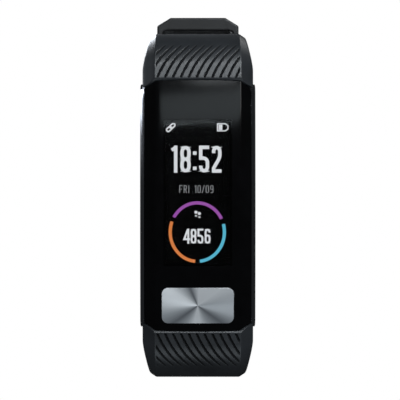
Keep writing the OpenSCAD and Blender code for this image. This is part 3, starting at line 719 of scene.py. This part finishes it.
def box_loop(x0, z0, x1, z1, r):
    return (arc(x1 - r, z1 - r, r, 0, 90, 5) + arc(x0 + r, z1 - r, r, 90, 180, 5)
            + arc(x0 + r, z0 + r, r, 180, 270, 5) + arc(x1 - r, z0 + r, r, 270, 360, 5))


def glyph(ch, w, h, t):
    """Strokes of a condensed digit or letter in a w by h box, for a stroke width t."""
    i, r = t / 2, min(w, h / 2) * 0.42
    x0, x1, z0, z1, m = i, w - i, i, h - i, h / 2
    if ch == "0":
        return [(box_loop(x0, z0, x1, z1, r), True)]
    if ch == "1":
        return [([(w - i, 0), (w - i, h)], False), ([(0, h * 0.83), (w - i, h - t * 0.55)], False)]
    if ch == "8":
        return [(box_loop(x0, m - i * 0.2, x1, z1, r), True), (box_loop(x0, z0, x1, m + i * 0.2, r), True)]
    if ch == "5":
        return [([(w, z1), (x0, z1), (x0, m + i * 0.3)], False),
                ([(0, m + i * 0.6)] + arc(x1 - r, m + i * 0.6 - r, r, 90, 0, 6)
                 + arc(x1 - r, z0 + r, r, 0, -90, 6) + arc(x0 + r, z0 + r, r, 270, 180, 6)
                 + [(x0, h * 0.26)], False)]
    if ch == "2":
        return [([(x0, h * 0.72)] + arc(x0 + r, z1 - r, r, 180, 90, 6) + arc(x1 - r, z1 - r, r, 90, 0, 6)
                 + [(x1, h * 0.62), (x1 - i * 0.6, h * 0.5), (x0, t * 1.3), (x0, z0), (w, z0)], False)]
    if ch == "9":
        return [(box_loop(x0, m * 0.9, x1, z1, r), True),
                ([(x1, m)] + arc(x1 - r, z0 + r, r, 0, -90, 6) + [(x0, z0)], False)]
    if ch == "6":
        return [(box_loop(x0, z0, x1, m * 1.12, r), True),
                ([(x0, m)] + arc(x0 + r, z1 - r, r, 180, 90, 6) + arc(x1 - r, z1 - r, r, 90, 0, 6)
                 + [(x1, h * 0.74)], False)]
    if ch == "4":
        return [([(w * 0.74, 0), (w * 0.74, h)], False),
                ([(w * 0.66, h - i), (x0, h * 0.3), (w, h * 0.3)], False)]
    if ch == "/":
        return [([(0, 0), (w, h)], False)]
    if ch == "F":
        return [([(x0, 0), (x0, z1), (w, z1)], False), ([(x0, m), (w * 0.85, m)], False)]
    if ch == "R":
        return [([(x0, 0), (x0, z1)] + arc(x1 - r, z1 - r, r, 90, 0, 5)
                 + arc(x1 - r, m + r, r, 0, -90, 5) + [(x0, m)], False), ([(w * 0.45, m), (x1, 0)], False)]
    if ch == "I":
        return [([(w / 2, 0), (w / 2, h)], False)]
    return []


def drawing(name, strokes, width, material, y=PANEL_Y - 0.03):
    """Strokes as a thin raised layer on the display."""
    verts, faces = [], []
    for points, closed, *own in strokes:
        v, f = ribbon(points, own[0] if own else width, closed)
        base = len(verts)
        verts += [(x, y, z) for x, z in v]
        faces += [tuple(base + k for k in q) for q in f]
    ob = add(name, verts, faces, "case")
    mod = ob.modifiers.new("thick", "SOLIDIFY")
    mod.thickness = 0.02 * MM
    mod.offset = 0
    ob.data.materials.append(material)
    return ob


def moved(strokes, dx, dz):
    """The same strokes at another place."""
    return [([(x + dx, z + dz) for x, z in p], closed) for p, closed in strokes]


DIGIT = lit("lit_white", (0.70, 0.72, 0.74), 1.0)
GREY = lit("lit_grey", (0.3, 0.31, 0.32), 1.0)
PURPLE = lit("lit_purple", (0.31, 0.075, 0.38), 1.0)
ORANGE = lit("lit_orange", (0.68, 0.20, 0.045), 1.0)
CYAN = lit("lit_cyan", (0.09, 0.46, 0.62), 1.0)

top, tall, thick = 10.86, 4.92, 0.63
time_strokes = []
for ch, x, w in (("1", -4.74, 1.04), ("8", -3.18, 1.89), ("5", 0.22, 1.85), ("2", 2.56, 1.75)):
    time_strokes += moved(glyph(ch, w, tall, thick), x, top - tall)
for z in (9.5, 6.75):
    time_strokes.append(([(-0.88, z), (-0.22, z)], False))
drawing("face_time", time_strokes, thick, DIGIT)

date_strokes, x = [], -3.35
for ch in "FRI 10/09":
    w = {"I": 0.2, " ": 0.45, "/": 0.42, "1": 0.3}.get(ch, 0.56)
    date_strokes += moved(glyph(ch, w, 1.4, 0.11), x, 2.27)
    x += w + 0.25
drawing("face_date", date_strokes, 0.11, GREY)

RING_X, RING_Z, RING_R, RING_RZ, RING_WIDTH = -0.09, -4.82, 4.92, 5.3, 0.58


def ring(name, a0, a1, material):
    drawing(name, [(arc(RING_X, RING_Z, RING_R, a0, a1, 48, RING_RZ), False)], RING_WIDTH, material)


ring("face_ring_top", 149.5, 27, PURPLE)
ring("face_ring_left", 159, 265.5, ORANGE)
ring("face_ring_right", 16, -84.5, CYAN)

count_strokes = []
for ch, x, w in (("4", -2.65, 1.24), ("8", -1.31, 1.07), ("5", -0.06, 1.07), ("6", 1.24, 1.07)):
    count_strokes += moved(glyph(ch, w, 2.73, 0.35), x, -6.93)
drawing("face_count", count_strokes, 0.35, DIGIT)

feet = []
for cx, cz in ((-0.34, -1.42), (0.28, -1.66)):
    feet.append((arc(cx, cz + 0.2, 0.14, 0, 360, 12)[:-1], True, 0.3))
    feet.append(([(cx + 0.02, cz - 0.32), (cx + 0.02, cz - 0.58)], False, 0.36))
drawing("face_steps", feet, 0.3, DIGIT)

link = []
for cx, cz in ((-5.2, 13.86), (-4.62, 14.42)):
    loop = box_loop(-0.52, -0.3, 0.52, 0.3, 0.29)
    c, s = math.cos(math.radians(40)), math.sin(math.radians(40))
    link.append(([(cx + px * c - pz * s, cz + px * s + pz * c) for px, pz in loop], True))
drawing("face_link", link, 0.25, DIGIT)

cell = [([(3.58, 13.53), (5.0, 13.53), (5.47, 13.88), (5.47, 14.47), (5.0, 14.82), (3.58, 14.82)], True),
        ([(3.78, 14.175), (4.46, 14.175)], False, 1.0)]
drawing("face_battery", cell, 0.2, DIGIT)


# ---- Touch electrode ----
def electrode():
    """The plate with its rounded corners and softened edge, tilted to lie on the glass."""
    a = math.asin(-ELECTRODE_Z / GLASS_R)
    w, l, r, edge = ELECTRODE_HALF_W, ELECTRODE_HALF_L, ELECTRODE_CORNER, 0.12
    out = []
    for cx, cz, a0 in ((1, 1, 0), (-1, 1, 90), (-1, -1, 180), (1, -1, 270)):
        for k in range(9):
            t = math.radians(a0 + 11.25 * k)
            out.append((cx * (w - r), cz * (l - r), math.cos(t), math.sin(t)))
    n = len(out)
    levels = [(r, 0.55), (r, 0.02), (r - 0.4 * edge, -0.03), (r - edge, -0.05)]
    verts = [(x + rr * c, y, z + rr * s) for rr, y in levels for x, z, c, s in out]
    faces = []
    for k in range(len(levels) - 1):
        for i in range(n):
            j = (i + 1) % n
            faces.append((k * n + i, k * n + j, (k + 1) * n + j, (k + 1) * n + i))
    faces.append(tuple(range(n - 1, -1, -1)))
    top = (len(levels) - 1) * n
    verts.append((0, -0.05, 0))
    faces += [(top + i, top + (i + 1) % n, len(verts) - 1) for i in range(n)]
    ob = add("electrode_plate", verts, faces, None, 30)
    ob.location = Vector((0, CURVE_Y - GLASS_R * math.cos(a), ELECTRODE_Z)) * MM
    ob.rotation_euler = (a, 0, 0)
    bpy.context.view_layer.update()
    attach(ob, "case")
    return ob


def radial_steel_painted_highlights():
    """Steel brushed outward from its centre under fine spokes, with painted highlights and painted shade as
    broad light and dark sectors in its colour.
    """
    n = Nodes("electrode_steel")
    parts = n.node("ShaderNodeSeparateXYZ")
    n.link(n.coords(), parts.inputs[0])
    angle = n.math("ARCTAN2", parts.outputs[2], parts.outputs[0])
    turn = n.math("MULTIPLY_ADD", angle, 1 / (2 * math.pi), 0.5)  # 0 and 1 are at the left
    spokes = n.node("ShaderNodeTexNoise", noise_dimensions="1D")
    n.link(n.math("MULTIPLY", turn, 300.0), spokes.inputs["W"])
    spokes.inputs["Scale"].default_value = 1.0
    spokes.inputs["Detail"].default_value = 3.0
    bent = n.math("MULTIPLY_ADD", spokes.outputs[0], 0.016, n.math("SUBTRACT", turn, 0.008))
    # Colours of the painted highlights, the mid tone and the painted shade round the plate.
    light, mid, dark = (0.72, 0.74, 0.76), (0.38, 0.40, 0.42), (0.14, 0.15, 0.165)
    painted_highlights = n.ramp(bent, [(0.0, light), (0.045, mid), (0.1, dark), (0.16, mid), (0.215, light),
                         (0.27, light), (0.33, mid), (0.40, dark), (0.46, mid), (0.52, mid),
                         (0.60, light), (0.74, light), (0.785, mid), (0.815, dark), (0.85, mid),
                         (0.91, light)])
    tangent = n.node("ShaderNodeTangent", direction_type="RADIAL", axis="Y")
    n.surface(Base_Color=painted_highlights, Metallic=0.6, Roughness=n.spread(spokes.outputs[0], 0.45, 0.6),
              Anisotropic=0.7, Tangent=tangent.outputs[0], Specular_IOR_Level=0.5,
              Normal=n.bump(spokes.outputs[0], 0.2, 0.004 * MM))
    return n.material


plate = electrode()
plate.data.materials.append(radial_steel_painted_highlights())
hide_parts("touch_electrode")

# ---- Stage ----
scene = bpy.context.scene
scene.view_settings.view_transform = "Standard"
scene.view_settings.look = "None"

world = bpy.data.worlds.new("studio")
scene.world = world
world.use_nodes = True
tree = world.node_tree
tree.nodes.clear()
out = tree.nodes.new("ShaderNodeOutputWorld")
seen = tree.nodes.new("ShaderNodeBackground")
fill = tree.nodes.new("ShaderNodeBackground")
gloom = tree.nodes.new("ShaderNodeBackground")
first = tree.nodes.new("ShaderNodeMixShader")
second = tree.nodes.new("ShaderNodeMixShader")
path = tree.nodes.new("ShaderNodeLightPath")
seen.inputs[0].default_value = (1, 1, 1, 1)
fill.inputs[0].default_value = (0.9, 0.95, 1.0, 1)
gloom.inputs[0].default_value = (0.9, 0.95, 1.0, 1)
fill.inputs[1].default_value = 0.5
gloom.inputs[1].default_value = 0.025
tree.links.new(path.outputs["Is Diffuse Ray"], first.inputs[0])
tree.links.new(gloom.outputs[0], first.inputs[1])
tree.links.new(fill.outputs[0], first.inputs[2])
tree.links.new(path.outputs["Is Camera Ray"], second.inputs[0])
tree.links.new(first.outputs[0], second.inputs[1])
tree.links.new(seen.outputs[0], second.inputs[2])
tree.links.new(second.outputs[0], out.inputs[0])

floor = add("floor", [(-3000, -3000, -300), (3000, -3000, -300), (3000, 3000, -300), (-3000, 3000, -300)],
            [(0, 1, 2, 3)], None)
paper = Nodes("paper")
paper.surface(Base_Color=(0.8, 0.8, 0.8, 1), Roughness=0.8, Emission_Color=(1, 1, 1, 1),
              Emission_Strength=1.0)
floor.data.materials.append(paper.material)
floor.visible_diffuse = False
floor.visible_glossy = False
floor.visible_transmission = False


def area(name, azimuth, elevation, distance, width, height, radiance, colour=(1, 1, 1)):
    """A soft box at an azimuth (0 is the camera's side, 90 the right) and elevation."""
    light = bpy.data.lights.new(name, "AREA")
    light.shape = "RECTANGLE"
    light.size, light.size_y = width, height
    light.energy = radiance * math.pi * width * height
    light.color = colour
    ob = bpy.data.objects.new(name, light)
    scene.collection.objects.link(ob)
    a, e = math.radians(azimuth), math.radians(elevation)
    ob.location = distance * Vector((math.sin(a) * math.cos(e), -math.cos(a) * math.cos(e), math.sin(e)))
    ob.rotation_euler = (-ob.location).to_track_quat("-Z", "Y").to_euler()
    return ob


area("key", 24, 38, 0.8, 0.6, 0.14, 18.5, (0.90, 0.96, 1.0))
area("sheen", 17, 24.3, 1.0, 0.78, 0.14, 1.75, (0.84, 0.95, 1.0))
area("strip_left", -115, 14.5, 0.7, 0.12, 0.15, 6.0, (0.86, 0.92, 1.0))
area("edge_right", 52, 27, 0.8, 0.16, 0.24, 4.8)
area("kicker_left", -155, 24, 0.7, 0.3, 0.3, 11.0, (0.88, 0.93, 1.0))
area("back_right", 140, 42, 0.9, 0.5, 0.3, 1.6)
area("low_front", 6, -56, 0.34, 0.2, 0.14, 1.6, (0.84, 0.94, 1.0))

CAMERA_BACK, FIELD = 809, 72.7273  # from the middle of the case, and the width seen at 800
camera = bpy.data.cameras.new("camera")
camera.sensor_width = 36
camera.lens = camera.sensor_width * 800 / FIELD
camera.clip_end = 20
view = bpy.data.objects.new("camera", camera)
scene.collection.objects.link(view)
view.location = Vector((0.4, -CAMERA_BACK, 1.0)) * MM
view.rotation_euler = (math.radians(90), 0, 0)
scene.camera = view
